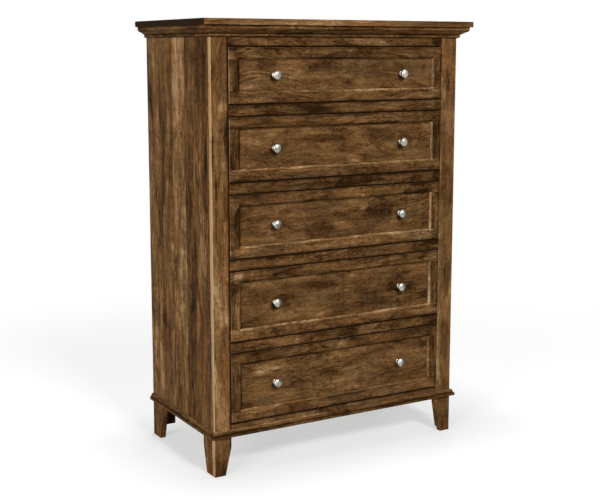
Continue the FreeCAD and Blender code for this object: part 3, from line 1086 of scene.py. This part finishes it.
# %% Turn two knobs for each drawer
for n, height in zip(drawers, knob_heights):
    foot = (0.0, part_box(f"drawer_{n}_knobs")[1].y, height)
    values = {"Half Spread": knob_spread, "Foot": foot, "Finish": nickel_finish}
    pair = run_tree(knob_tree, f"knobs_of_drawer_{n}", values, f"drawer_{n}")
    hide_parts(f"drawer_{n}_knobs")
    tip = min(vertex.co.y for vertex in pair.data.vertices)
    print(pair.name, "faces", len(pair.data.polygons), "tip at", round(tip, 4))

# %% [markdown]
# The screws
#
# Small screws hold the chest together where nobody looks: two through the front
# of each drawer box into the knobs, four more into the framed front, three in
# each half of a slide, and four in each cleat, two up into the top and two into
# the side. All are pan heads with a cross recess. A head is turned like the
# knob, from few faces because there are many, and the vertices of the cross are
# then pushed in.

# %% The screw tree
screw_radius = 3.8 * mm
screw_height = 1.6 * mm
recess_depth = 0.8
cross_half_width = 0.1
cross_starts = 0.69
centre_starts = 0.95
widths = (0, 1, 1, 0.86, 0.6, 0.5, 0.25, 0)
heights = (0, 0, 0.4, 0.82, 1, 1, 1, 1)
head_steps = len(widths) - 1
head_widths = [(step / head_steps, width) for step, width in enumerate(widths)]
head_heights = [(step / head_steps, height) for step, height in enumerate(heights)]
screw_inputs = [
    ("Geometry", "NodeSocketGeometry", None),
    ("Head Radius", "NodeSocketFloat", screw_radius),
    ("Head Height", "NodeSocketFloat", screw_height),
    ("Finish", "NodeSocketMaterial", None),
]
screw_tree, bench, entry = new_geometry_tree("pan_head_screws", screw_inputs)
lathe = Lathe(bench, round_steps=16, profile_steps=head_steps)
cross = (abs(lathe.cosine * lathe.sine) < cross_half_width) * (lathe.along > cross_starts)
centre = lathe.along > centre_starts
deep = bench.sum("MAXIMUM", cross, centre)
width = lathe.profile(head_widths) * entry.other("Head Radius")
rise = (lathe.profile(head_heights) - deep * recess_depth) * entry.other("Head Height")
turns = bench.node("GeometryNodeInputNamedAttribute", {"data_type": "FLOAT_VECTOR"}, {"Name": "turn"})
facing = bench.node("FunctionNodeEulerToRotation", {}, {0: turns})
close_tree(bench, entry, lathe.turned(width, rise), entry.other("Finish"), facing)

# %% Which way the heads face, and the places that screws share
quarter = math.pi / 2
face_back = (0.0, 0.0, math.pi)
face_down = (quarter, 0.0, 0.0)
slide_web = 1.2 * mm
box_end = 16 * mm
cleat = 19 * mm
fixing_out = 320 * mm
fixing_up = 26 * mm
fixing_down = 29 * mm
cleat_off = 150 * mm
box_front_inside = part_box("drawer_1_box_ends")[0].y + box_end
along_slide = [front_plane + d * mm for d in (45, 250, 450)]
case_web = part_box("slide_case_members")[1].x - slide_web
slide_heights = [middle_height(f"slide_{n}_middle") for n in drawers]
print("inside of the box fronts at y =", round(box_front_inside, 4))


# %% Points and turns of the screws
def drawer_screws(n):
    """The screws of a drawer: for the knobs, for the framed front and for the slides."""
    low, high = front_heights[n - 1]
    drawer_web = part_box(f"drawer_{n}_box_sides")[1].x + slide_web
    in_the_front = (
        (knob_spread, knob_heights[n - 1]), (fixing_out, low + fixing_up), (fixing_out, high - fixing_down),
    )
    places = []
    for side in (-1, 1):
        outward = (0.0, 0.0, side * quarter)
        for x, z in in_the_front:
            places.append(((side * x, box_front_inside, z), face_back))
        for y in along_slide:
            places.append(((side * drawer_web, y, slide_heights[n - 1]), outward))
    return places


def case_screws():
    """The screws of the case: for the slides and for the cleats under the top."""
    cleat_low, cleat_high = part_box("top_cleats")
    middle = (cleat_low.y + cleat_high.y) / 2
    places = []
    for side in (-1, 1):
        inward = (0.0, 0.0, -side * quarter)
        for y in along_slide:
            for z in slide_heights:
                places.append(((side * case_web, y, z), inward))
        for off in (-cleat_off, cleat_off):
            up_in_top = (side * (cleat_high.x - cleat / 2), middle + off, cleat_low.z)
            in_side = (side * (cleat_high.x - cleat), middle + off / 2, cleat_low.z + cleat / 2)
            places += [(up_in_top, face_down), (in_side, inward)]
    return places


# %% Drive them in
driven = [("case", case_screws())]
driven += [(f"drawer_{n}", drawer_screws(n)) for n in drawers]
for body, places in driven:
    made = run_tree(screw_tree, f"screws_of_{body}", {"Finish": slide_finish}, body, places)
    print(made.name, "screws", len(places), "faces", len(made.data.polygons))

# %% [markdown]
# Floor, daylight and lamps
#
# The chest is pictured on plain white. The floor takes the soft shadow and is
# otherwise as white as the air behind it: for the camera and for reflections it
# glows a little, so that full light on it reaches white and shade stays grey,
# and far from the chest it is plain white. The world is dim for lighting and
# white to look at.

# %% Floor
white = (1.0, 1.0, 1.0, 1.0)
floor_size = 80.0
floor_glow = 0.54
floor_colour = 0.40
white_from = 1.2
white_at = 2.6


def looked_at(bench):
    """One for the camera, reflections and clear glass, nought for the light that falls."""
    paths = bench.node("ShaderNodeLightPath")
    rays = paths + paths.other("Is Glossy Ray") + paths.other("Is Transmission Ray")
    return bench.sum("MINIMUM", rays, 1.0)


bpy.ops.mesh.primitive_plane_add(size=floor_size, location=(0.0, 0.0, 0.0))
floor = bpy.context.object
floor.name = "floor"
floor_finish, bench = new_finish("white_floor")
seen = looked_at(bench)
spot = bench.node("ShaderNodeTexCoord", {}, {}, output="Object")
away = bench.node("ShaderNodeVectorMath", {"operation": "LENGTH"}, {0: spot}, output="Value")
far = soft_step(bench, away, white_from, white_at)
paper = cloud(bench, spot, (3.0, 3.0, 3.0), 2.0) * 0.02 + (floor_colour - 0.01)
matt = {"Base Color": joined(bench, paper, paper, paper), "Roughness": 1.0, "Specular IOR Level": 0.0}
lit = bench.node("ShaderNodeBsdfPrincipled", {}, matt)
glow = bench.node("ShaderNodeEmission", {}, {"Color": white, "Strength": floor_glow})
glowing = bench.node("ShaderNodeAddShader", {}, {0: lit, 1: glow})
near_floor = bench.node("ShaderNodeMixShader", {}, {0: seen, 1: lit, 2: glowing})
plain_white = bench.node("ShaderNodeEmission", {}, {"Color": white, "Strength": 1.0})
floor_shader = bench.node("ShaderNodeMixShader", {}, {0: far * seen, 1: near_floor, 2: plain_white})
bench.node("ShaderNodeOutputMaterial", {}, {"Surface": floor_shader})
floor.data.materials.append(floor_finish)
print("floor", floor_size, "m wide, plain white from", white_at, "m")

# %% World
daylight = 0.20
world = bpy.data.worlds.new("white_room")
bpy.context.scene.world = world
world.use_nodes = True
bench = Bench(world.node_tree)
dim = bench.node("ShaderNodeBackground", {}, {"Color": white, "Strength": daylight})
plain = bench.node("ShaderNodeBackground", {}, {"Color": white, "Strength": 1.0})
sky = bench.node("ShaderNodeMixShader", {}, {0: looked_at(bench), 1: dim, 2: plain})
bench.node("ShaderNodeOutputWorld", {}, {"Surface": sky})
print("daylight", daylight)

# %% [markdown]
# Lamps
#
# A lamp is given by its level, the brightness that they alone would give a
# white card at the chest that faces them. The watts follow from the distance.

# %% Lamps
lamp_target = Vector((0.0, 0.0, 0.75))


def lamp(name, place, size, level, length=None):
    data = bpy.data.lights.new(name, "AREA")
    data.shape = "RECTANGLE"
    data.size = size
    data.size_y = length or size
    aim = lamp_target - Vector(place)
    data.energy = level * math.pi**2 * aim.length_squared
    light = bpy.data.objects.new(name, data)
    light.location = place
    light.rotation_euler = aim.to_track_quat("-Z", "Y").to_euler()
    light.visible_camera = False
    bpy.context.scene.collection.objects.link(light)
    print(name, "watts", round(data.energy))


lamp("key", (-0.2, -5.9, 4.8), 1.2, 0.62)
lamp("left_soft", (-5.8, -3.2, 1.8), 2.4, 0.65)
lamp("overhead", (-0.1, 0.05, 6.0), 1.0, 0.75, length=1.4)
lamp("back_fill", (4.3, 4.6, 0.9), 3.0, 0.45, length=1.0)

# %% [markdown]
# Camera
#
# The picture was taken from the left, a little below the top of the chest, with
# a lens of moderate length. The camera looks down a little, and the view is also
# slid down a little, which keeps the upright lines nearly parallel.

# %% Camera
lens = 67.89
place = (-1.9747, -3.3477, 1.3542)
down = math.radians(8.562)
to_the_right = math.radians(30.266)
camera_data = bpy.data.cameras.new("portrait")
camera_data.lens = lens
camera_data.sensor_width = 36.0
camera_data.shift_y = -0.05
camera = bpy.data.objects.new("portrait", camera_data)
camera.location = place
camera.rotation_euler = (quarter - down, 0.0, -to_the_right)
bpy.context.scene.collection.objects.link(camera)
bpy.context.scene.camera = camera
bpy.context.scene.view_settings.view_transform = "Standard"
print("camera at", place, "with a lens of", lens)
